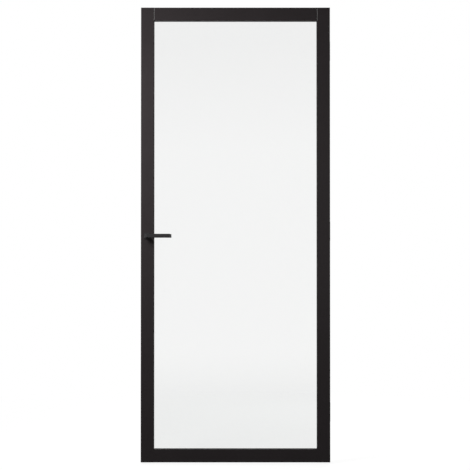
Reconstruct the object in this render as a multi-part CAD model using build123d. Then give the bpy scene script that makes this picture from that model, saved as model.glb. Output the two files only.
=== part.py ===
from build123d import *
import os

# A single interior door leaf: a slim black frame of two stiles and two rails round one clear pane,
# hung on three butt hinges at the right, with a small lever handle and a magnetic latch at the left.
# Millimetres. +X runs from the lock edge to the hinge edge, -Y is the front, +Z is up.
# The origin is the middle of the leaf's bottom edge.

# Leaf
leaf_width = 880.0
leaf_height = 2115.0
leaf_thickness = 40.0
stile_width = 60.0
top_rail_height = 60.0
bottom_rail_height = 60.0
arris_radius = 1.0
joint_bevel = 1.0

# Corner joints: stub tenons in the glazing grooves, glued dowels below, screws above
tenon_end_gap = 0.5
tenon_side_gap = 0.1
dowel_radius = 4.0
dowel_length = 80.0
dowel_in_stile = 28.0
rail_fixing_offsets = (12.0, 32.0)
rail_screw_radius = 3.5
rail_screw_length = 95.0
rail_screw_head_radius = 6.0
rail_screw_socket = 5.0
fixing_gap = 0.05

# Glazing
pane_thickness = 6.0
pane_cover = 10.0
pane_arris = 0.5
gasket_wall = 3.0
gasket_base = 2.0
gasket_lip = 1.5
block_thickness = 2.0
block_length = 80.0
block_side_gap = 0.2
setting_block_share = 0.25
side_block_inset = 300.0

# Lever handle
spindle_height = 1052.0
backset = 28.0
spindle_side = 8.0
spindle_play = 0.1
spindle_edge_break = 0.5
spindle_overlap = 26.0
spindle_hole_radius = 8.0
lever_reach = 110.0
lever_height = 17.0
lever_neck_width = 16.0
lever_bar_thickness = 9.0
lever_projection = 52.0
lever_elbow_radius = 10.0
lever_inner_radius = 4.0
lever_spigot_radius = 7.0
lever_rose_gap = 0.4
lever_edge_radius = 1.2
grub_radius = 2.0
grub_sink = 1.0
grub_socket = 2.0
grub_socket_depth = 1.5
grub_depth_from_rose = 9.0

# Roses
rose_side = 28.0
rose_corner_radius = 3.0
rose_edge_break = 0.8
rose_thickness = 6.0
rose_wall = 1.2
rose_base_thickness = 3.0
rose_base_gap = 0.2
bush_wall = 1.2
bush_gap = 0.05
rose_screw_offset = 9.3
rose_screw_radius = 1.5
rose_screw_head_radius = 2.6
rose_screw_head_height = 1.4
rose_screw_length = 11.0

# Lock
faceplate_length = 120.0
faceplate_width = 20.0
faceplate_thickness = 3.0
faceplate_rise = 15.0
faceplate_screw_offset = 50.0
faceplate_screw_radius = 2.0
faceplate_screw_head_radius = 3.8
faceplate_screw_length = 25.0
faceplate_screw_socket = 2.4
case_depth = 36.0
case_thickness = 15.0
case_wall = 1.2
case_below_spindle = 20.0
case_above_spindle = 37.0
mortise_gap = 0.4
follower_radius = 8.5
follower_flat = 7.4
follower_neck_radius = 6.5
follower_neck_gap = 0.2
follower_side_gap = 0.3
follower_arm_length = 13.0
follower_arm_width = 4.0
follower_arm_thickness = 5.0
follower_spring_strip = 0.6
follower_spring_width = 6.0
follower_spring_length = 24.0
follower_spring_gap = 0.3
latch_rise = 21.0
latch_height = 20.0
latch_width = 11.0
latch_nose_length = 18.0
latch_gap = 0.2
latch_edge_break = 1.0
latch_rod_radius = 1.5
latch_rod_gap = 0.2
latch_collar_radius = 3.2
latch_collar_length = 1.6
latch_end_gap = 1.6
guide_gap = 1.5
guide_below_rod = 4.0
latch_spring_strip = 0.5
latch_spring_width = 6.0
latch_spring_gap = 0.3
magnet_radius = 4.0
magnet_length = 6.0

# Hinges
hinge_height = 89.0
hinge_plate_thickness = 2.5
hinge_plate_gap = 0.5
hinge_plate_width = 26.0
hinge_edge_to_frame = 1.5
hinge_knuckle_radius = 4.5
hinge_knuckle_gap = 0.3
hinge_knuckle_clearance = 0.5
hinge_knuckle_count = 3
hinge_pin_radius = 2.5
hinge_pin_gap = 0.05
hinge_cap_radius = 3.8
hinge_cap_height = 2.5
hinge_cap_break = 1.0
hinge_recess_gap = 0.3
hinge_corner_radius = 3.0
hinge_hole_radius = 2.5
hinge_countersink_depth = 1.3
hinge_hole_spacing_y = 13.0
hinge_hole_spacing_z = 62.0
hinge_screw_radius = 2.2
hinge_screw_play = 0.1
hinge_screw_length = 26.0
hinge_screw_socket = 2.4
hinge_from_bottom = 230.0
hinge_from_top = 200.0

# Places worked out from the sizes above
half_width = leaf_width / 2
half_thickness = leaf_thickness / 2
groove_width = pane_thickness + 2 * gasket_wall
groove_depth = pane_cover + gasket_base + block_thickness
opening_half_width = half_width - stile_width
opening_bottom = bottom_rail_height
opening_top = leaf_height - top_rail_height
spindle_x = -half_width + backset
case_front_x = -half_width + faceplate_thickness
case_back_x = case_front_x + case_depth
case_floor = spindle_height - case_below_spindle
case_roof = spindle_height + case_above_spindle
latch_z = spindle_height + latch_rise
latch_nose_end_x = -half_width + latch_nose_length
latch_collar_x = case_back_x - case_wall - latch_end_gap - latch_collar_length
guide_x = latch_nose_end_x + guide_gap
follower_spring_x = (case_front_x + case_back_x) / 2
faceplate_z = spindle_height + faceplate_rise
bush_radius = lever_spigot_radius + bush_gap + bush_wall
hinge_recess_depth = 2 * hinge_plate_thickness + hinge_plate_gap - hinge_edge_to_frame
hinge_pin_x = half_width + hinge_edge_to_frame - hinge_plate_thickness - hinge_plate_gap / 2
hinge_pin_y = half_thickness + hinge_knuckle_radius + hinge_knuckle_clearance
hinge_plate_end = hinge_pin_y - half_thickness + hinge_plate_width
hinge_hole_y = -(hinge_pin_y - half_thickness) - hinge_plate_width / 2
top_hinge_height = leaf_height - hinge_from_top
hinge_heights = {
    "bottom": hinge_from_bottom,
    "middle": (hinge_from_bottom + top_hinge_height) / 2,
    "top": top_hinge_height,
}


def block(x, y, z):
    """A box from its (low, high) extents along each axis."""
    size = Box(x[1] - x[0], y[1] - y[0], z[1] - z[0], align=(Align.MIN, Align.MIN, Align.MIN))
    return Pos(x[0], y[0], z[0]) * size


def rod(radius, start, direction, length):
    """A round bar from a start point along a direction."""
    return Plane(origin=start, z_dir=direction) * Cylinder(
        radius, length, align=(Align.CENTER, Align.CENTER, Align.MIN)
    )


def countersunk_screw(radius, head_radius, length, socket, start, direction):
    """A flat-headed screw whose head face lies at the start point; its thread is left plain."""
    head_depth = head_radius - radius
    profile = Polyline(
        (0, 0), (head_radius, 0), (radius, head_depth), (radius, length), (0, length), close=True
    )
    screw = revolve(Plane.XZ * make_face(profile), Axis.Z)
    screw -= extrude(RegularPolygon(socket / 2, 6), head_depth)
    return Plane(origin=start, z_dir=direction) * screw


def countersunk_hole(radius, head_radius, length, start, direction):
    """The hole that a countersunk screw sits in."""
    hole = rod(radius, (0, 0, 0), (0, 0, 1), length)
    head_depth = head_radius - radius
    hole += Cone(head_radius, radius, head_depth, align=(Align.CENTER, Align.CENTER, Align.MIN))
    return Plane(origin=start, z_dir=direction) * hole


def group(solids):
    """Separate solids that share one node."""
    return Compound(children=list(solids))


def mirrored_front_to_back(solid):
    return mirror(solid, Plane.XZ)


def grooved_profile(width, ease_inner):
    """A member's section: outer edge at x=0, glazing groove in the inner edge."""
    profile = Rectangle(width, leaf_thickness, align=(Align.MIN, Align.CENTER))
    corners = profile.vertices().sort_by(Axis.X)
    profile = fillet(corners if ease_inner else corners[:2], arris_radius)
    groove = Rectangle(groove_depth, groove_width, align=(Align.MAX, Align.CENTER))
    return profile - Pos(width, 0) * groove


def plain_stile():
    """A full-height stile, outer edge at x=0. Its inner arris stops at the tight bottom joint."""
    beside_bottom_rail = extrude(grooved_profile(stile_width, False), bottom_rail_height)
    above = extrude(grooved_profile(stile_width, True), leaf_height - bottom_rail_height)
    return beside_bottom_rail + Pos(0, 0, bottom_rail_height) * above


def rail_fixing_heights(rail):
    """Heights of the dowels or screws at the end of a rail."""
    if rail == "bottom":
        return list(rail_fixing_offsets)
    return [leaf_height - offset for offset in rail_fixing_offsets]


def dowel(side, z, gap=0.0):
    start = side * (half_width - stile_width + groove_depth + dowel_in_stile)
    return rod(dowel_radius + gap, (start, 0, z), (-side, 0, 0), dowel_length)


def bottom_dowels(gap=0.0):
    return [dowel(side, z, gap) for side in (-1, 1) for z in rail_fixing_heights("bottom")]


def top_screws():
    return [
        countersunk_screw(
            rail_screw_radius, rail_screw_head_radius, rail_screw_length,
            rail_screw_socket, (side * half_width, 0, z), (-side, 0, 0),
        )
        for side in (-1, 1)
        for z in rail_fixing_heights("top")
    ]


def top_screw_holes():
    return [
        countersunk_hole(
            rail_screw_radius + fixing_gap, rail_screw_head_radius + fixing_gap,
            rail_screw_length + fixing_gap, (side * half_width, 0, z), (-side, 0, 0),
        )
        for side in (-1, 1)
        for z in rail_fixing_heights("top")
    ]


def cut(solid, tools):
    for tool in tools:
        solid -= tool
    return solid


def rail(height, bevel):
    """A rail lying along X, outer edge at z=0 and groove upwards, with a stub tenon at each end."""
    length = 2 * opening_half_width
    section = Plane(origin=(-length / 2, 0, 0), x_dir=(0, 0, 1), z_dir=(1, 0, 0))
    body = extrude(section * grooved_profile(height, True), length)
    if bevel:
        plan = Rectangle(length, leaf_thickness)
        body &= extrude(chamfer(plan.vertices(), bevel), height)
    tenon_reach = opening_half_width + groove_depth - tenon_end_gap
    tenon_half = groove_width / 2 - tenon_side_gap
    for side in (-1, 1):
        ends = sorted((side * opening_half_width, side * tenon_reach))
        body += block(ends, (-tenon_half, tenon_half), (0, height - groove_depth))
    return body


def top_rail():
    turned = Pos(0, 0, leaf_height) * Rot(180, 0, 0) * rail(top_rail_height, joint_bevel)
    return cut(turned, top_screw_holes())


def bottom_rail():
    return cut(rail(bottom_rail_height, 0), bottom_dowels(fixing_gap))


def faceplate_outline(grow=0.0):
    half = faceplate_width / 2 + grow
    return SlotOverall(faceplate_length + 2 * grow, 2 * half, rotation=90)


def faceplate_slab(grow, depth):
    plane = Plane(origin=(-half_width, 0, faceplate_z), x_dir=(0, 1, 0), z_dir=(1, 0, 0))
    return extrude(plane * faceplate_outline(grow), depth)


def faceplate_screw_places():
    return [faceplate_z - faceplate_screw_offset, faceplate_z + faceplate_screw_offset]


def faceplate_screw_holes():
    return [
        countersunk_hole(
            faceplate_screw_radius + fixing_gap, faceplate_screw_head_radius + fixing_gap,
            faceplate_screw_length + fixing_gap, (-half_width, 0, z), (1, 0, 0),
        )
        for z in faceplate_screw_places()
    ]


def faceplate_screws():
    return [
        countersunk_screw(
            faceplate_screw_radius, faceplate_screw_head_radius, faceplate_screw_length,
            faceplate_screw_socket, (-half_width, 0, z), (1, 0, 0),
        )
        for z in faceplate_screw_places()
    ]


def latch_aperture():
    """The opening that the latch's nose slides in, through the faceplate and the case's front wall."""
    half_w = latch_width / 2 + latch_gap
    half_h = latch_height / 2 + latch_gap
    return block(
        (-half_width, case_front_x + case_wall), (-half_w, half_w), (latch_z - half_h, latch_z + half_h)
    )


def lock_faceplate():
    plate = faceplate_slab(0, faceplate_thickness)
    return cut(plate, [latch_aperture(), *faceplate_screw_holes()])


def rose_screw_places():
    """The rose's two screws sit at opposite corners, clear of the bush."""
    return [
        (spindle_x + sign * rose_screw_offset, spindle_height + sign * rose_screw_offset) for sign in (-1, 1)
    ]


def rose_screws(side):
    """Round-headed screws through the rose's base; side is -1 on the front and 1 on the rear."""
    face = side * (half_thickness + rose_base_thickness)
    screws = []
    for x, z in rose_screw_places():
        shank = rod(rose_screw_radius, (x, face, z), (0, -side, 0), rose_screw_length)
        head = rod(rose_screw_head_radius, (x, face, z), (0, side, 0), rose_screw_head_height)
        screws.append(shank + head)
    return screws


def rose_screw_holes(side):
    face = side * (half_thickness + rose_base_thickness)
    return [
        rod(rose_screw_radius + fixing_gap, (x, face, z), (0, -side, 0), rose_screw_length + fixing_gap)
        for x, z in rose_screw_places()
    ]


def lock_stile():
    stile = Pos(-half_width, 0, 0) * plain_stile()
    mortise = block(
        (case_front_x, case_back_x + mortise_gap),
        (-case_thickness / 2 - mortise_gap, case_thickness / 2 + mortise_gap),
        (case_floor - mortise_gap, case_roof + mortise_gap),
    )
    spindle_hole = rod(
        spindle_hole_radius, (spindle_x, -half_thickness, spindle_height), (0, 1, 0), leaf_thickness
    )
    return cut(
        stile,
        [
            mortise,
            spindle_hole,
            faceplate_slab(fixing_gap, faceplate_thickness),
            *faceplate_screw_holes(),
            *rose_screw_holes(-1),
            *rose_screw_holes(1),
            *bottom_dowels(fixing_gap),
            *top_screw_holes(),
        ],
    )


def hinge_recess(z):
    """The shallow housing that both hinge plates fold into, open at the rear face."""
    half = hinge_height / 2 + hinge_recess_gap
    return block(
        (half_width - hinge_recess_depth, half_width + 1),
        (half_thickness - hinge_plate_width - hinge_recess_gap, half_thickness + 1),
        (z - half, z + half),
    )


def hinge_hole_places():
    """The four screw holes of a plate, as (y, z) from the pin at the hinge's middle."""
    return [
        (hinge_hole_y + y * hinge_hole_spacing_y / 2, z * hinge_hole_spacing_z / 2)
        for y in (-1, 1)
        for z in (-1, 1)
    ]


def plate_hole_radius(side):
    """The door's plate fits its own screws closely; the frame's plate has the full 5 mm hole."""
    return hinge_hole_radius if side > 0 else hinge_screw_radius + hinge_screw_play


def hinge_screw_start_x():
    return half_width - hinge_recess_depth + hinge_plate_thickness


def hinge_screws(z):
    head_radius = plate_hole_radius(-1) + hinge_countersink_depth - fixing_gap
    return [
        countersunk_screw(
            hinge_screw_radius, head_radius, hinge_screw_length, hinge_screw_socket,
            (hinge_screw_start_x(), hinge_pin_y + y, z + dz), (-1, 0, 0),
        )
        for y, dz in hinge_hole_places()
    ]


def hinge_pilot_holes(z):
    return [
        rod(
            hinge_screw_radius + fixing_gap, (half_width, hinge_pin_y + y, z + dz),
            (-1, 0, 0), half_width - hinge_screw_start_x() + hinge_screw_length + fixing_gap,
        )
        for y, dz in hinge_hole_places()
    ]


def hinge_stile():
    stile = mirror(Pos(-half_width, 0, 0) * plain_stile(), Plane.YZ)
    tools = [*bottom_dowels(fixing_gap), *top_screw_holes()]
    for z in hinge_heights.values():
        tools += [hinge_recess(z), *hinge_pilot_holes(z)]
    return cut(stile, tools)


def glass_pane():
    half = opening_half_width + pane_cover
    slab = block(
        (-half, half), (-pane_thickness / 2, pane_thickness / 2),
        (opening_bottom - pane_cover, opening_top + pane_cover),
    )
    return chamfer(slab.edges(), pane_arris)


def gasket_ring():
    """A U-shaped rubber channel all round the pane's edge, its lips just proud of the frame."""
    outer = pane_cover + gasket_base
    ring = block(
        (-opening_half_width - outer, opening_half_width + outer),
        (-groove_width / 2, groove_width / 2),
        (opening_bottom - outer, opening_top + outer),
    )
    window = block(
        (-opening_half_width + gasket_lip, opening_half_width - gasket_lip),
        (-groove_width / 2, groove_width / 2),
        (opening_bottom + gasket_lip, opening_top - gasket_lip),
    )
    slot = block(
        (-opening_half_width - pane_cover, opening_half_width + pane_cover),
        (-pane_thickness / 2, pane_thickness / 2),
        (opening_bottom - pane_cover, opening_top + pane_cover),
    )
    return ring - window - slot


def gasket_lengths():
    """The ring as four lengths, mitred where they meet at the pane's corners."""
    ring = gasket_ring()
    outer = pane_cover + gasket_base
    reach = outer + gasket_lip
    left, right = -opening_half_width - outer, opening_half_width + outer
    low, high = opening_bottom - outer, opening_top + outer

    def inner(corner):
        x, z = corner
        return (x + reach if x == left else x - reach, z + reach if z == low else z - reach)

    corners = {
        "gasket_bottom": ((left, low), (right, low)),
        "gasket_right": ((right, low), (right, high)),
        "gasket_top": ((right, high), (left, high)),
        "gasket_left": ((left, high), (left, low)),
    }
    lengths = {}
    for name, (start, end) in corners.items():
        outline = Polyline(start, end, inner(end), inner(start), close=True)
        lengths[name] = ring & extrude(Plane.XZ * make_face(outline), groove_width / 2, both=True)
    return lengths


def setting_blocks():
    """Two hard blocks that carry the pane and its gasket off the bottom rail's groove."""
    half = groove_width / 2 - block_side_gap
    low = opening_bottom - groove_depth
    blocks = []
    for side in (-1, 1):
        x = side * 2 * opening_half_width * setting_block_share
        blocks.append(
            block((x - block_length / 2, x + block_length / 2), (-half, half), (low, low + block_thickness))
        )
    return blocks


def side_spacer_blocks():
    """Blocks that keep the pane centred between the stiles."""
    half = groove_width / 2 - block_side_gap
    heights = (opening_bottom + side_block_inset, opening_top - side_block_inset)
    blocks = []
    for side in (-1, 1):
        inner = side * (opening_half_width + groove_depth - block_thickness)
        outer = side * (opening_half_width + groove_depth)
        for z in heights:
            blocks.append(
                block(sorted((inner, outer)), (-half, half), (z - block_length / 2, z + block_length / 2))
            )
    return blocks


def lever_plan():
    """The lever seen from above, spindle axis at x=0 and door face at y=0, front towards -Y."""
    half = lever_neck_width / 2
    start = rose_thickness + lever_rose_gap
    inner = lever_projection - lever_bar_thickness
    outline = Polyline(
        (-half, -start), (half, -start), (half, -inner), (lever_reach, -inner),
        (lever_reach, -lever_projection), (-half, -lever_projection), close=True,
    )
    plan = make_face(outline)
    outer_corner = plan.vertices().sort_by_distance(Vector(-half, -lever_projection, 0))[0]
    plan = fillet(outer_corner, lever_elbow_radius)
    inner_corner = plan.vertices().sort_by_distance(Vector(half, -inner, 0))[0]
    plan = fillet(inner_corner, lever_inner_radius)
    tip_corners = plan.vertices().sort_by(Axis.X)[-2:]
    return fillet(tip_corners, lever_edge_radius)


def grub_centre_y():
    return -(rose_thickness + lever_rose_gap + grub_depth_from_rose)


def grub_screw():
    """Clamps the lever to its spindle from underneath."""
    low = grub_sink - lever_height / 2
    screw = rod(grub_radius - fixing_gap, (0, grub_centre_y(), low), (0, 0, 1), -low - spindle_side / 2)
    socket = extrude(RegularPolygon(grub_socket / 2, 6), grub_socket_depth)
    return screw - Pos(0, grub_centre_y(), low) * socket


def lever():
    """One lever at the front, in place: a squared bar bent once, with a round spigot through the rose."""
    body = Pos(0, 0, -lever_height / 2) * extrude(lever_plan(), lever_height)
    body = fillet(body.faces().filter_by(Axis.Z).edges(), lever_edge_radius)
    body += rod(lever_spigot_radius, (0, 0, 0), (0, -1, 0), rose_thickness + lever_rose_gap)
    socket_half = spindle_side / 2 + spindle_play
    socket_depth = spindle_overlap + lever_rose_gap
    body -= block((-socket_half, socket_half), (-socket_depth, 0), (-socket_half, socket_half))
    body -= rod(grub_radius, (0, grub_centre_y(), -lever_height / 2), (0, 0, 1), lever_height / 2)
    return Pos(spindle_x, -half_thickness, spindle_height) * body


def placed_grub_screw():
    return Pos(spindle_x, -half_thickness, spindle_height) * grub_screw()


def spindle():
    bar = Box(spindle_side, leaf_thickness + 2 * spindle_overlap, spindle_side)
    bar = chamfer(bar.edges().filter_by(Axis.Y), spindle_edge_break)
    return Pos(spindle_x, 0, spindle_height) * bar


def rose_square(side, corner):
    return Plane.XZ * RectangleRounded(side, side, corner)


def rose_cover():
    """A thin pressed cap over the base plate, in place at the front."""
    cap = extrude(rose_square(rose_side, rose_corner_radius), rose_thickness)
    front_rim = cap.faces().sort_by(Axis.Y)[0].edges()
    cap = chamfer(front_rim, rose_edge_break)
    inner_side = rose_side - 2 * rose_wall
    cap -= extrude(rose_square(inner_side, rose_corner_radius - rose_wall), rose_thickness - rose_wall)
    cap -= rod(bush_radius + bush_gap, (0, 0, 0), (0, -1, 0), rose_thickness)
    return Pos(spindle_x, -half_thickness, spindle_height) * cap


def rose_base():
    side = rose_side - 2 * rose_wall - 2 * rose_base_gap
    plate = extrude(rose_square(side, rose_corner_radius - rose_wall), rose_base_thickness)
    plate -= rod(bush_radius + bush_gap, (0, 0, 0), (0, -1, 0), rose_base_thickness)
    return cut(Pos(spindle_x, -half_thickness, spindle_height) * plate, rose_screw_holes(-1))


def rose_bush():
    """The plastic ring that the lever's spigot turns in."""
    ring = rod(bush_radius, (0, 0, 0), (0, -1, 0), rose_thickness)
    ring -= rod(lever_spigot_radius + bush_gap, (0, 0, 0), (0, -1, 0), rose_thickness)
    return Pos(spindle_x, -half_thickness, spindle_height) * ring


def follower_neck_hole():
    half = case_thickness / 2
    return rod(
        follower_neck_radius + follower_neck_gap, (spindle_x, -half, spindle_height), (0, 1, 0), 2 * half
    )


def lock_case_shell():
    """A pressed box open at the rear, with a tab folded in that guides the latch's rod."""
    half = case_thickness / 2
    outer = block((case_front_x, case_back_x), (-half, half), (case_floor, case_roof))
    hollow = block(
        (case_front_x + case_wall, case_back_x - case_wall), (-half + case_wall, half),
        (case_floor + case_wall, case_roof - case_wall),
    )
    shell = cut(outer, [hollow, follower_neck_hole(), latch_aperture()])
    tab = block(
        (guide_x, guide_x + case_wall), (-half + case_wall, half - case_wall),
        (latch_z - guide_below_rod, case_roof - case_wall),
    )
    rod_hole = rod(latch_rod_radius + latch_rod_gap, (guide_x, 0, latch_z), (1, 0, 0), case_wall)
    return shell + (tab - rod_hole)


def lock_case_cover():
    half = case_thickness / 2
    plate = block(
        (case_front_x + case_wall, case_back_x - case_wall), (half - case_wall, half),
        (case_floor + case_wall, case_roof - case_wall),
    )
    return plate - follower_neck_hole()


def lock_follower():
    """The square-holed hub that the spindle turns: an arm above, and a flat below for its spring."""
    hub_half = case_thickness / 2 - case_wall - follower_side_gap
    neck_half = case_thickness / 2
    profile = Circle(follower_radius) - Pos(0, -follower_flat) * Rectangle(
        2 * follower_radius, follower_radius, align=(Align.CENTER, Align.MAX)
    )
    hub = extrude(Plane.XZ * profile, hub_half, both=True)
    hub += rod(follower_neck_radius, (0, -neck_half, 0), (0, 1, 0), 2 * neck_half)
    hub += block(
        (-follower_arm_width / 2, follower_arm_width / 2),
        (-follower_arm_thickness / 2, follower_arm_thickness / 2), (0, follower_arm_length),
    )
    socket_half = spindle_side / 2 + spindle_play
    hub -= block((-socket_half, socket_half), (-neck_half, neck_half), (-socket_half, socket_half))
    return Pos(spindle_x, 0, spindle_height) * hub


def follower_spring():
    """A bridge of spring strip that stands on the case's floor under the follower's flat."""
    floor = case_floor + case_wall
    rise = spindle_height - follower_flat - follower_spring_gap - floor
    span = follower_spring_length
    outer = Rectangle(span, rise, align=(Align.CENTER, Align.MIN))
    under = Rectangle(
        span - 2 * follower_spring_strip, rise - follower_spring_strip, align=(Align.CENTER, Align.MIN)
    )
    bridge = extrude(Plane.XZ * (outer - under), follower_spring_width / 2, both=True)
    return Pos(follower_spring_x, 0, floor) * bridge


def latch_bolt():
    """A blunt magnetic nose, flush with the faceplate at rest, on a rod with a collar at its end."""
    nose = Box(latch_nose_length, latch_width, latch_height, align=(Align.MIN, Align.CENTER, Align.CENTER))
    nose = chamfer(nose.faces().sort_by(Axis.X)[0].edges(), latch_edge_break)
    rod_length = latch_collar_x - latch_nose_end_x
    bolt = Pos(-half_width, 0, latch_z) * nose
    bolt += rod(latch_rod_radius, (latch_nose_end_x, 0, latch_z), (1, 0, 0), rod_length)
    bolt += rod(latch_collar_radius, (latch_collar_x, 0, latch_z), (1, 0, 0), latch_collar_length)
    return bolt - rod(magnet_radius + fixing_gap, (-half_width, 0, latch_z), (1, 0, 0), magnet_length)


def latch_magnet():
    return rod(magnet_radius, (-half_width, 0, latch_z), (1, 0, 0), magnet_length)


def latch_spring():
    """A forked V of spring strip, between the guide tab and the collar, that draws the latch in."""
    low = guide_x + case_wall + latch_spring_gap
    high = latch_collar_x - latch_spring_gap
    middle = (low + high) / 2
    strip = latch_spring_strip
    foot = -latch_collar_radius
    peak = case_roof - case_wall - latch_z - latch_spring_gap
    outline = Polyline(
        (low, foot), (low + strip, foot), (middle, peak - 2 * strip), (high - strip, foot),
        (high, foot), (middle + strip / 2, peak), (middle - strip / 2, peak), close=True,
    )
    spring = extrude(Plane.XZ * make_face(outline), latch_spring_width / 2, both=True)
    fork = latch_rod_radius + latch_rod_gap
    spring -= block((low, high), (-fork, fork), (foot, fork))
    return Pos(0, 0, latch_z) * spring


def knuckle_span(index):
    """The low and high ends of one knuckle, counted from the bottom, from the hinge's middle."""
    height = (hinge_height - (hinge_knuckle_count - 1) * hinge_knuckle_gap) / hinge_knuckle_count
    low = -hinge_height / 2 + index * (height + hinge_knuckle_gap)
    return low, low + height


def hinge_plate(side):
    """One leaf of a hinge about its pin at the origin: side -1 is the door's leaf, 1 the frame's."""
    inner = hinge_plate_gap / 2
    outer = inner + hinge_plate_thickness
    x_range = sorted((side * inner, side * outer))
    knuckle_edge = -hinge_knuckle_radius - hinge_knuckle_clearance
    plate = block(x_range, (-hinge_plate_end, knuckle_edge), (-hinge_height / 2, hinge_height / 2))
    far_corners = plate.edges().filter_by(Axis.X).sort_by(Axis.Y)[:2]
    plate = fillet(far_corners, hinge_corner_radius)
    for index in range(hinge_knuckle_count):
        if (index % 2 == 0) == (side > 0):
            low, high = knuckle_span(index)
            plate += rod(hinge_knuckle_radius, (0, 0, low), (0, 0, 1), high - low)
            plate += block(x_range, (knuckle_edge, 0), (low, high))
    plate -= rod(hinge_pin_radius + hinge_pin_gap, (0, 0, -hinge_height), (0, 0, 1), 2 * hinge_height)
    hole_radius = plate_hole_radius(side)
    holes = [
        countersunk_hole(
            hole_radius, hole_radius + hinge_countersink_depth,
            hinge_plate_thickness, (side * inner, y, z), (side, 0, 0),
        )
        for y, z in hinge_hole_places()
    ]
    return cut(plate, holes)


def hinge_pin():
    """A pin with a button at each end, held by the frame's knuckles."""
    half = hinge_height / 2
    pin = rod(hinge_pin_radius, (0, 0, -half), (0, 0, 1), hinge_height)
    for end in (-1, 1):
        cap = rod(hinge_cap_radius, (0, 0, end * half), (0, 0, end), hinge_cap_height)
        cap = chamfer(cap.edges().sort_by(Axis.Z)[-1 if end > 0 else 0], hinge_cap_break)
        pin += cap
    return pin


def hinges():
    """Each hinge's two plates and its pin, and the screws of all three."""
    nodes = {}
    for name, z in hinge_heights.items():
        place = Pos(hinge_pin_x, hinge_pin_y, z)
        nodes[f"hinge_{name}_door_plate"] = place * hinge_plate(-1)
        nodes[f"hinge_{name}_frame_plate"] = place * hinge_plate(1)
        nodes[f"hinge_{name}_pin"] = place * hinge_pin()
    nodes["hinge_screws"] = group(screw for z in hinge_heights.values() for screw in hinge_screws(z))
    return nodes


def all_nodes():
    return {
        "lock_stile": lock_stile(),
        "hinge_stile": hinge_stile(),
        "top_rail": top_rail(),
        "bottom_rail": bottom_rail(),
        "bottom_rail_dowels": group(bottom_dowels()),
        "top_rail_screws": group(top_screws()),
        "glass_pane": glass_pane(),
        **gasket_lengths(),
        "setting_blocks": group(setting_blocks()),
        "side_spacer_blocks": group(side_spacer_blocks()),
        "lock_faceplate": lock_faceplate(),
        "faceplate_screws": group(faceplate_screws()),
        "lock_case": lock_case_shell(),
        "lock_case_cover": lock_case_cover(),
        "lock_follower": lock_follower(),
        "follower_spring": follower_spring(),
        "latch_bolt": latch_bolt(),
        "latch_magnet": latch_magnet(),
        "latch_spring": latch_spring(),
        "spindle": spindle(),
        "front_lever": lever(),
        "rear_lever": mirrored_front_to_back(lever()),
        "lever_grub_screws": group([placed_grub_screw(), mirrored_front_to_back(placed_grub_screw())]),
        "front_rose": rose_cover(),
        "rear_rose": mirrored_front_to_back(rose_cover()),
        "front_rose_base": rose_base(),
        "rear_rose_base": mirrored_front_to_back(rose_base()),
        "front_rose_bush": rose_bush(),
        "rear_rose_bush": mirrored_front_to_back(rose_bush()),
        "rose_screws": group([*rose_screws(-1), *rose_screws(1)]),
        **hinges(),
    }


os.makedirs("parts", exist_ok=True)
for node_name, shape in all_nodes().items():
    export_step(shape, f"parts/{node_name}.step")
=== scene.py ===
import math

import bpy
from mathutils import Matrix, Vector


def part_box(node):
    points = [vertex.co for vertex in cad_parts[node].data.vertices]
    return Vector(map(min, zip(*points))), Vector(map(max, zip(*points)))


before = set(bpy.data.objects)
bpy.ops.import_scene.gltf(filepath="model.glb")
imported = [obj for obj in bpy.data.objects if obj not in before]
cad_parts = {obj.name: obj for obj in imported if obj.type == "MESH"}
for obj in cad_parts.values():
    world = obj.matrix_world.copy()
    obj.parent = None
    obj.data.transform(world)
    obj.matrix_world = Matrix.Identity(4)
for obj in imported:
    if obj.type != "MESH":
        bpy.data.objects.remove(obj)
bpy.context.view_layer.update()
stile_low, stile_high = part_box("lock_stile")
rail_low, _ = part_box("top_rail")

# Camera: about level with the lever, far enough back that the leaf's edges hardly converge
camera_place = Vector((-0.0022, -6.02, 0.982))
camera_tilt_up = math.radians(0.70)
camera_lens = 98.85
camera_sensor = 36.0

# Light: two lamps add brightness and no sheen, two others in front add only sheen
key_place = Vector((-1.0, -1.1, 1.80))
key_side = 0.6
key_watts = 21.6
rear_place = Vector((1.6, 3.6, 1.3))
rear_side = 1.2
rear_watts = 90.0
left_sheen_place = Vector((-1.35, -1.67, 1.70))
left_sheen_side = 0.8
left_sheen_watts = 60.0
right_sheen_place = Vector((1.4, -3.2, 1.1))
right_sheen_side = 1.6
right_sheen_watts = 38.0

# Surroundings: white where they are seen, softer where they light something
surroundings_colour = (1, 1, 1, 1)
seen_strength = 1.0
ambient_strength = 0.32

# Floor: the leaf hangs clear of it, as a hinged door does, and shades it only nearby
floor_gap = 0.008
floor_half_side = 40.0
floor_colour = (0.16, 0.16, 0.16, 1)
shade_near = 1.0
shade_far = 3.0
shade_depth = 0.11
shade_light = 0.19

# Black lacquer on the wooden members
lacquer_sheen = 0.02
lacquer_dark = (0.0322, 0.0274, 0.0285, 1)
lacquer_pale = (0.0354, 0.0301, 0.0315, 1)
lacquer_grain = (0.0393, 0.0336, 0.0350, 1)

# Painted highlights: pale lines along the joints of the removable top rail, in place of the light that the
# joints catch
joint_highlight_colour = (0.20, 0.195, 0.195, 1)
joint_highlight_width = 0.0022

# Clear glass, a trace darker towards its top, with shade painted towards its bottom for the floor seen
# through it: each change runs between two heights
glass_index = 1.5
glass_tint = (0.898, 0.902, 0.900, 1)
glass_top_tint = (0.855, 0.859, 0.857, 1)
glass_bottom_shade_tint = (0.8105, 0.8195, 0.815, 1)
glass_top_darkening_heights = (1.45, 1.95)
glass_bottom_shade_heights = (0.15, 0.54)

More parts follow.
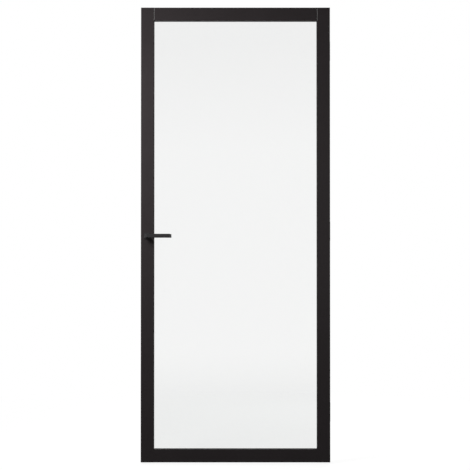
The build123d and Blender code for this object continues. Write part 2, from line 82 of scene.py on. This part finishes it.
# Black coatings on metal: satin on the handle, duller on the faceplate, hinges and screws
handle_sheen = 0.10
dull_sheen = 0.03
coat_dark = (0.024, 0.0225, 0.0235, 1)
coat_pale = (0.031, 0.0295, 0.0305, 1)
film_dark = (0.020, 0.020, 0.022, 1)
film_pale = (0.045, 0.044, 0.046, 1)

# Bare steel, in the lock and springs
zinc_dark = (0.50, 0.51, 0.52, 1)
zinc_pale = (0.60, 0.61, 0.63, 1)
spring_dark = (0.34, 0.34, 0.35, 1)
spring_pale = (0.44, 0.45, 0.46, 1)

# Rubber, plastic and wood, nearly all of it hidden inside the leaf
rubber_sheen = 0.3
rubber_dark = (0.012, 0.012, 0.012, 1)
rubber_pale = (0.020, 0.020, 0.021, 1)
plastic_sheen = 0.45
plastic_dark = (0.018, 0.018, 0.018, 1)
plastic_pale = (0.026, 0.026, 0.026, 1)
beech_sheen = 0.3
beech_dark = (0.50, 0.34, 0.19, 1)
beech_pale = (0.66, 0.49, 0.31, 1)
beech_fleck = (0.32, 0.19, 0.10, 1)

# Patterns drawn out along one axis, by scaling that axis down
upright_grain = (1, 1, 0.03)
level_grain = (0.03, 1, 1)
strip_streaks = (1, 1, 0.05)
dowel_grain = (0.06, 1, 1)
dowel_flecks = (0.35, 1, 1)

# A Mix node has sockets of the same name for numbers and colours, so its colours go by their places
first_colour, second_colour, mixed_colour = 6, 7, 2


class Nodes:
    """The nodes of a material or a world, added and linked one by one."""

    def __init__(self, tree):
        self.tree = tree

    def node(self, kind, **settings):
        made = self.tree.nodes.new(kind)
        for name, value in settings.items():
            setattr(made, name, value)
        return made

    def link(self, source, target):
        self.tree.links.new(source, target)

    def math(self, operation, *values):
        """One step of arithmetic on patterns and numbers."""
        step = self.node("ShaderNodeMath", operation=operation)
        for socket, value in zip(step.inputs, values):
            if isinstance(value, float):
                socket.default_value = value
            else:
                self.link(value, socket)
        return step.outputs["Value"]

    def between(self, source, low, high, start=0.3, end=0.7, shape="LINEAR"):
        """Spreads the part of a pattern from start to end over a range of values."""
        spread = self.node("ShaderNodeMapRange", interpolation_type=shape)
        spread.inputs["From Min"].default_value = start
        spread.inputs["From Max"].default_value = end
        spread.inputs["To Min"].default_value = low
        spread.inputs["To Max"].default_value = high
        self.link(source, spread.inputs["Value"])
        return spread.outputs["Result"]

    def choose(self, amount, first, second):
        """The first shader where the amount is 0, and the second where it is 1."""
        chooser = self.node("ShaderNodeMixShader")
        for socket, source in zip(chooser.inputs, (amount, first, second)):
            self.link(source, socket)
        return chooser.outputs["Shader"]


class Finish(Nodes):
    """A Principled material and the nodes that give it its pattern, in metres of the part's own frame."""

    def __init__(self, name, **values):
        self.material = bpy.data.materials.new(name)
        self.material.use_nodes = True
        super().__init__(self.material.node_tree)
        self.shader = self.tree.nodes["Principled BSDF"]
        for socket, value in values.items():
            self.shader.inputs[socket.replace("_", " ")].default_value = value
        self.place = self.node("ShaderNodeTexCoord").outputs["Object"]

    def drive(self, socket, source):
        """Lets a pattern set one of the shader's sockets."""
        self.link(source, self.shader.inputs[socket])

    def along(self, axis):
        """The place along one axis, in metres."""
        splitter = self.node("ShaderNodeSeparateXYZ")
        self.link(self.place, splitter.inputs["Vector"])
        return splitter.outputs[axis]

    def stretched(self, factors):
        """The place with each axis scaled, for a pattern drawn out along one of them."""
        mapping = self.node("ShaderNodeMapping")
        mapping.inputs["Scale"].default_value = factors
        self.link(self.place, mapping.inputs["Vector"])
        return mapping.outputs["Vector"]

    def noise(self, size, detail=2.0, place=None):
        """Soft blotches of about this size, from 0 to 1."""
        texture = self.node("ShaderNodeTexNoise")
        texture.inputs["Scale"].default_value = 1 / size
        texture.inputs["Detail"].default_value = detail
        self.link(place or self.place, texture.inputs["Vector"])
        return texture.outputs["Fac"]

    def mix(self, amount, first, second):
        """Two colours mixed by a pattern."""
        mixer = self.node("ShaderNodeMix", data_type="RGBA")
        self.link(amount, mixer.inputs["Factor"])
        for socket, value in ((first_colour, first), (second_colour, second)):
            if isinstance(value, tuple):
                mixer.inputs[socket].default_value = value
            else:
                self.link(value, mixer.inputs[socket])
        return mixer.outputs[mixed_colour]

    def cloudy(self, pattern, first, second):
        """Two colours that drift into each other."""
        return self.mix(self.between(pattern, 0, 1), first, second)

    def relief(self, height, depth, strength):
        """Adds a height pattern to the surface, this deep in metres, on top of those that it already has."""
        step = self.node("ShaderNodeBump")
        step.inputs["Distance"].default_value = depth
        step.inputs["Strength"].default_value = strength
        self.link(height, step.inputs["Height"])
        for earlier in self.shader.inputs["Normal"].links:
            self.link(earlier.from_socket, step.inputs["Normal"])
        self.drive("Normal", step.outputs["Normal"])


def painted_joint_highlights(finish):
    """1 along the two joints of the top rail, where a highlight is painted, on every face that they cross, to
    the right of each joint.
    """
    half = joint_highlight_width / 2
    across = finish.math("ABSOLUTE", finish.math("SUBTRACT", finish.along("X"), half))
    from_line = finish.math("SUBTRACT", across, abs(stile_high.x))
    beside = finish.math("LESS_THAN", finish.math("ABSOLUTE", from_line), half)
    above = finish.math("GREATER_THAN", finish.along("Z"), rail_low.z)
    return finish.math("MULTIPLY", beside, above)


def lacquer(name, grain_stretch):
    """Satin black lacquer over a wooden member, with its grain just telling through."""
    finish = Finish(name, Specular_IOR_Level=lacquer_sheen)
    grain = finish.noise(size=0.0012, detail=3.0, place=finish.stretched(grain_stretch))
    cloud = finish.noise(size=0.12)
    polish = finish.noise(size=0.03, detail=4.0)
    orange_peel = finish.noise(size=0.0016, detail=1.0)
    dust = finish.noise(size=0.0004, detail=1.0)
    body = finish.cloudy(cloud, lacquer_dark, lacquer_pale)
    body = finish.mix(finish.between(grain, low=0, high=0.3), body, lacquer_grain)
    # A painted highlight along the top rail's two joints
    finish.drive("Base Color", finish.mix(painted_joint_highlights(finish), body, joint_highlight_colour))
    finish.drive("Roughness", finish.between(polish, low=0.28, high=0.34))
    finish.relief(grain, depth=0.00006, strength=0.35)
    finish.relief(orange_peel, depth=0.00004, strength=0.5)
    finish.relief(dust, depth=0.00002, strength=0.4)
    return finish.material


def glass():
    """Clear float glass, with the faint grey-green that its thickness gives, a trace darker towards its top,
    and with painted shade towards its bottom.
    """
    finish = Finish("clear_glass", Roughness=0.0, IOR=glass_index, Transmission_Weight=1.0)
    height = finish.along("Z")
    top_darkening = finish.between(height, 0, 1, *glass_top_darkening_heights)
    # Painted shade towards the bottom, in place of the floor's shade seen through the glass
    bottom_painted_shade = finish.between(height, 1, 0, *glass_bottom_shade_heights, shape="SMOOTHSTEP")
    body = finish.mix(top_darkening, glass_tint, glass_top_tint)
    finish.drive("Base Color", finish.mix(bottom_painted_shade, body, glass_bottom_shade_tint))
    return finish.material


def rubber():
    """Matt black rubber with a faint grey bloom."""
    finish = Finish("glazing_rubber", Specular_IOR_Level=rubber_sheen)
    bloom = finish.noise(size=0.02, detail=3.0)
    skin = finish.noise(size=0.0005)
    finish.drive("Base Color", finish.cloudy(bloom, rubber_dark, rubber_pale))
    finish.drive("Roughness", finish.between(skin, low=0.62, high=0.78))
    finish.relief(skin, depth=0.00003, strength=0.5)
    return finish.material


def powder_coat(name, sheen, smoothest, roughest):
    """Fine black powder coat over metal."""
    finish = Finish(name, Specular_IOR_Level=sheen)
    grit = finish.noise(size=0.0005)
    cloud = finish.noise(size=0.015)
    finish.drive("Base Color", finish.cloudy(cloud, coat_dark, coat_pale))
    finish.drive("Roughness", finish.between(grit, smoothest, roughest))
    finish.relief(grit, depth=0.00004, strength=0.6)
    return finish.material


def passivated_steel():
    """Black screws: a dark film over steel, too thin to gleam."""
    finish = Finish("black_screws", Specular_IOR_Level=dull_sheen)
    film = finish.noise(size=0.002, detail=3.0)
    finish.drive("Base Color", finish.cloudy(film, film_dark, film_pale))
    finish.drive("Roughness", finish.between(film, low=0.32, high=0.45))
    finish.relief(film, depth=0.00002, strength=0.3)
    return finish.material


def strip_steel(name, dark, pale, smoothest, roughest):
    """Rolled strip: streaks along Z and a fine cloudiness."""
    finish = Finish(name, Metallic=1.0)
    streaks = finish.noise(size=0.0006, detail=3.0, place=finish.stretched(strip_streaks))
    cloud = finish.noise(size=0.006, detail=3.0)
    finish.drive("Base Color", finish.cloudy(cloud, dark, pale))
    finish.drive("Roughness", finish.between(streaks, smoothest, roughest))
    finish.relief(streaks, depth=0.00001, strength=0.4)
    return finish.material


def moulded_plastic(name, smoothest, roughest):
    """Black plastic with the fine skin of its mould."""
    finish = Finish(name, Specular_IOR_Level=plastic_sheen)
    skin = finish.noise(size=0.0008)
    finish.drive("Base Color", finish.cloudy(skin, plastic_dark, plastic_pale))
    finish.drive("Roughness", finish.between(skin, smoothest, roughest))
    finish.relief(skin, depth=0.00002, strength=0.4)
    return finish.material


def beech():
    """Bare dowels: pale brown with short dark flecks along the grain."""
    finish = Finish("dowel_wood", Specular_IOR_Level=beech_sheen)
    grain = finish.noise(size=0.0009, detail=4.0, place=finish.stretched(dowel_grain))
    flecks = finish.noise(size=0.0011, detail=1.0, place=finish.stretched(dowel_flecks))
    body = finish.cloudy(grain, beech_dark, beech_pale)
    fleck_amount = finish.between(flecks, low=0, high=0.6, start=0.6, end=0.8)
    finish.drive("Base Color", finish.mix(fleck_amount, body, beech_fleck))
    finish.drive("Roughness", finish.between(grain, low=0.55, high=0.7))
    finish.relief(grain, depth=0.0001, strength=0.4)
    return finish.material


def dress_the_frame():
    """Gives every CAD node its finish, by the slot that it was packed with."""
    finishes = {
        "frame_lacquer": lacquer("frame_lacquer_upright", upright_grain),
        "dowel_wood": beech(),
        "clear_glass": glass(),
        "glazing_rubber": rubber(),
        "block_plastic": moulded_plastic("block_plastic", smoothest=0.5, roughest=0.6),
        "black_hardware": powder_coat("black_hardware_dull", dull_sheen, smoothest=0.42, roughest=0.5),
        "black_screws": passivated_steel(),
        "zinc_steel": strip_steel("zinc_steel", zinc_dark, zinc_pale, smoothest=0.25, roughest=0.4),
        "latch_plastic": moulded_plastic("latch_plastic", smoothest=0.25, roughest=0.35),
        "spring_steel": strip_steel("spring_steel", spring_dark, spring_pale, smoothest=0.2, roughest=0.32),
    }
    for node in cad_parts.values():
        for material_slot in node.material_slots:
            material_slot.material = finishes[material_slot.material.name.split(".")[0]]
    level_lacquer = lacquer("frame_lacquer_level", level_grain)
    for rail in ("top_rail", "bottom_rail"):
        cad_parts[rail].material_slots[0].material = level_lacquer
    satin_coat = powder_coat("black_hardware_satin", handle_sheen, smoothest=0.22, roughest=0.28)
    for piece in ("front_lever", "rear_lever", "front_rose", "rear_rose"):
        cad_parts[piece].material_slots[0].material = satin_coat
    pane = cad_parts["glass_pane"]
    pane.visible_shadow = False
    pane.visible_diffuse = False


def seen_directly(nodes):
    """1 for rays that show the background: the camera's, reflections and what is seen through glass."""
    rays = nodes.node("ShaderNodeLightPath").outputs
    by_a_surface = nodes.math("MAXIMUM", rays["Is Glossy Ray"], rays["Is Transmission Ray"])
    return nodes.math("MAXIMUM", rays["Is Camera Ray"], by_a_surface)


def white_surroundings():
    """A white background for what is seen, and a softer ambient light for what is lit."""
    world = bpy.data.worlds.new("studio")
    bpy.context.scene.world = world
    world.use_nodes = True
    nodes = Nodes(world.node_tree)
    ambient = nodes.tree.nodes["Background"]
    white = nodes.node("ShaderNodeBackground")
    for background, strength in ((ambient, ambient_strength), (white, seen_strength)):
        background.inputs["Color"].default_value = surroundings_colour
        background.inputs["Strength"].default_value = strength
    chosen = nodes.choose(seen_directly(nodes), ambient.outputs["Background"], white.outputs["Background"])
    nodes.link(chosen, nodes.tree.nodes["World Output"].inputs["Surface"])


def nearness(nodes):
    """1 close to the object and 0 far from it, so that the floor takes a shadow only there."""
    distance = nodes.node("ShaderNodeVectorMath", operation="LENGTH")
    nodes.link(nodes.node("ShaderNodeTexCoord").outputs["Object"], distance.inputs[0])
    return nodes.between(distance.outputs["Value"], 1, 0, shade_near, shade_far, shape="SMOOTHSTEP")


def floor_material():
    """A plain matt floor for the light that it throws back, and a white one that takes a shadow when seen."""
    material = bpy.data.materials.new("floor")
    material.use_nodes = True
    nodes = Nodes(material.node_tree)
    nodes.tree.nodes.remove(nodes.tree.nodes["Principled BSDF"])
    near = nearness(nodes)
    matt = nodes.node("ShaderNodeBsdfDiffuse")
    matt.inputs["Color"].default_value = floor_colour
    white = nodes.node("ShaderNodeEmission")
    nodes.link(nodes.math("MULTIPLY_ADD", near, -shade_depth, seen_strength), white.inputs["Strength"])
    shaded = nodes.node("ShaderNodeBsdfDiffuse")
    nodes.link(nodes.math("MULTIPLY", near, shade_light), shaded.inputs["Color"])
    seen = nodes.node("ShaderNodeAddShader")
    nodes.link(white.outputs["Emission"], seen.inputs[0])
    nodes.link(shaded.outputs["BSDF"], seen.inputs[1])
    chosen = nodes.choose(seen_directly(nodes), matt.outputs["BSDF"], seen.outputs["Shader"])
    nodes.link(chosen, nodes.tree.nodes["Material Output"].inputs["Surface"])
    return material


def pale_floor():
    """A wide floor under the hanging leaf, as white as the background."""
    mesh = bpy.data.meshes.new("floor")
    half = floor_half_side
    height = stile_low.z - floor_gap
    corners = [(-half, -half, height), (half, -half, height), (half, half, height), (-half, half, height)]
    mesh.from_pydata(corners, [], [(0, 1, 2, 3)])
    mesh.materials.append(floor_material())
    floor = bpy.data.objects.new("floor", mesh)
    bpy.context.scene.collection.objects.link(floor)


def all_but_the_pane():
    """What the lamps light: everything but the clear pane, which would show each as a hard white square."""
    lit = bpy.data.collections.new("lit_by_the_lamps")
    lit.objects.link(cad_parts["glass_pane"])
    lit.collection_objects[0].light_linking.link_state = "EXCLUDE"
    return lit


def softbox(name, place, side, watts, lit, sheen):
    """A square lamp aimed at the leaf's middle, for its sheen or for its brightness."""
    data = bpy.data.lights.new(name, "AREA")
    data.shape = "SQUARE"
    data.size = side
    data.energy = watts
    lamp = bpy.data.objects.new(name, data)
    lamp.location = place
    lamp.rotation_mode = "QUATERNION"
    middle = Vector((0, 0, (stile_low.z + stile_high.z) / 2))
    lamp.rotation_quaternion = (middle - place).to_track_quat("-Z", "Y")
    lamp.visible_diffuse = not sheen
    lamp.visible_glossy = sheen
    lamp.light_linking.receiver_collection = lit
    bpy.context.scene.collection.objects.link(lamp)


def lights():
    """The four lamps, which all light the same pieces."""
    lit = all_but_the_pane()
    softbox("key", key_place, key_side, key_watts, lit, sheen=False)
    softbox("rear", rear_place, rear_side, rear_watts, lit, sheen=False)
    softbox("left_sheen", left_sheen_place, left_sheen_side, left_sheen_watts, lit, sheen=True)
    softbox("right_sheen", right_sheen_place, right_sheen_side, right_sheen_watts, lit, sheen=True)


def camera():
    """A long lens far back, tilted up very slightly."""
    data = bpy.data.cameras.new("camera")
    data.lens = camera_lens
    data.sensor_width = camera_sensor
    viewer = bpy.data.objects.new("camera", data)
    level_view = Matrix.Translation(camera_place) @ Matrix.Rotation(math.pi / 2, 4, "X")
    viewer.matrix_world = level_view @ Matrix.Rotation(camera_tilt_up, 4, "X")
    bpy.context.scene.collection.objects.link(viewer)
    bpy.context.scene.camera = viewer


dress_the_frame()
white_surroundings()
pale_floor()
lights()
camera()
bpy.context.scene.view_settings.view_transform = "Standard"
